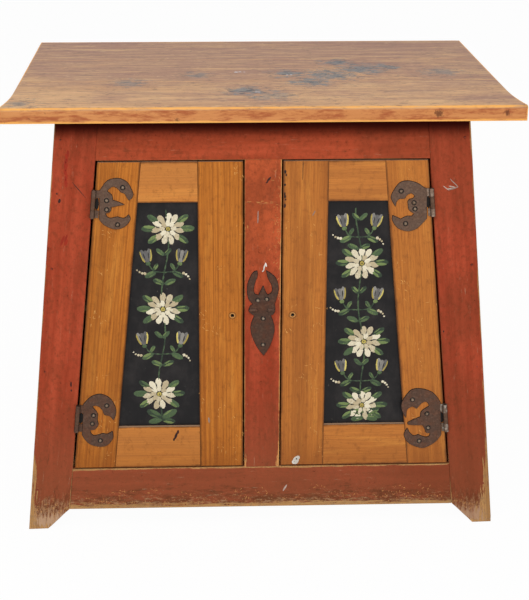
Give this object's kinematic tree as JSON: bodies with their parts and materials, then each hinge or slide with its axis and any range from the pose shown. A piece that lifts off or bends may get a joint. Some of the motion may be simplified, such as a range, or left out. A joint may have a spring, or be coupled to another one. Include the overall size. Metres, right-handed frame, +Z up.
{
  "type": "jelly cupboard",
  "caption": "Low painted pine cupboard with a splayed case, a wide overhanging top, framed doors on forged strap hinges and a shelf inside.",
  "frame": {"origin": "on the floor, under the middle of the top", "axes": "+Z up, the front with the doors faces -Y, +X to the right of someone standing in front of it"},
  "size_m": [0.96, 0.64, 0.876],
  "materials": {
    "red_paint": "worn red distemper over pine",
    "honey_pine": "aged, oiled pine",
    "weathered_top": "weathered pine, scrubbed",
    "bare_pine": "unpainted pine",
    "black_panel_paint": "near-black paint with a painted flowering vine",
    "forged_iron": "forged, brown patina with red paint left in it",
    "nail_iron": "hammered, dark"
  },
  "bodies": {
    "root": {"back_inner_left_board": "bare_pine", "back_inner_right_board": "bare_pine", "back_left_board": "bare_pine", "back_nails": "nail_iron", "back_right_board": "bare_pine", "batten_nails": "nail_iron", "centre_stile": "red_paint", "door_stop_strip": "bare_pine", "floor_back_board": "bare_pine", "floor_front_board": "bare_pine", "floor_nails": "nail_iron", "frame_brads": "nail_iron", "front_bottom_rail": "red_paint", "front_top_rail": "red_paint", "left_cleat_nails": "nail_iron", "left_floor_cleat": "bare_pine", "left_front_stile": "red_paint", "left_hinge_pins": "nail_iron", "left_leaf_nails": "nail_iron", "left_lower_frame_leaf": "forged_iron", "left_shelf_cleat": "bare_pine", "left_side_back_board": "red_paint", "left_side_front_board": "red_paint", "left_top_batten": "bare_pine", "left_upper_frame_leaf": "forged_iron", "ornament_nails": "nail_iron", "ornament_plate": "forged_iron", "right_cleat_nails": "nail_iron", "right_floor_cleat": "bare_pine", "right_front_stile": "red_paint", "right_hinge_pins": "nail_iron", "right_leaf_nails": "nail_iron", "right_lower_frame_leaf": "forged_iron", "right_shelf_cleat": "bare_pine", "right_side_back_board": "red_paint", "right_side_front_board": "red_paint", "right_top_batten": "bare_pine", "right_upper_frame_leaf": "forged_iron", "shelf_back_board": "bare_pine", "shelf_front_board": "bare_pine", "top_back_board": "weathered_top", "top_front_board": "weathered_top", "top_middle_board": "weathered_top"},
    "left_door": {"left_door_hinge_stile": "honey_pine", "left_door_inner_stile": "honey_pine", "left_door_top_rail": "honey_pine", "left_door_bottom_rail": "honey_pine", "left_door_panel": "black_panel_paint", "left_upper_hinge_plate": "forged_iron", "left_lower_hinge_plate": "forged_iron", "left_door_nails": "nail_iron"},
    "right_door": {"right_door_hinge_stile": "honey_pine", "right_door_inner_stile": "honey_pine", "right_door_top_rail": "honey_pine", "right_door_bottom_rail": "honey_pine", "right_door_panel": "black_panel_paint", "right_upper_hinge_plate": "forged_iron", "right_lower_hinge_plate": "forged_iron", "right_door_nails": "nail_iron"}
  },
  "joints": [
    {"name": "left_door_hinge", "type": "hinge", "parent": "root", "child": "left_door", "pos_m": [-0.34075, -0.28955, 0.46], "axis": [-0.1022, 0, -0.9948], "range_deg": [0, 165]},
    {"name": "right_door_hinge", "type": "hinge", "parent": "root", "child": "right_door", "pos_m": [0.34075, -0.28955, 0.46], "axis": [-0.1022, 0, 0.9948], "range_deg": [0, 165]}
  ]
}
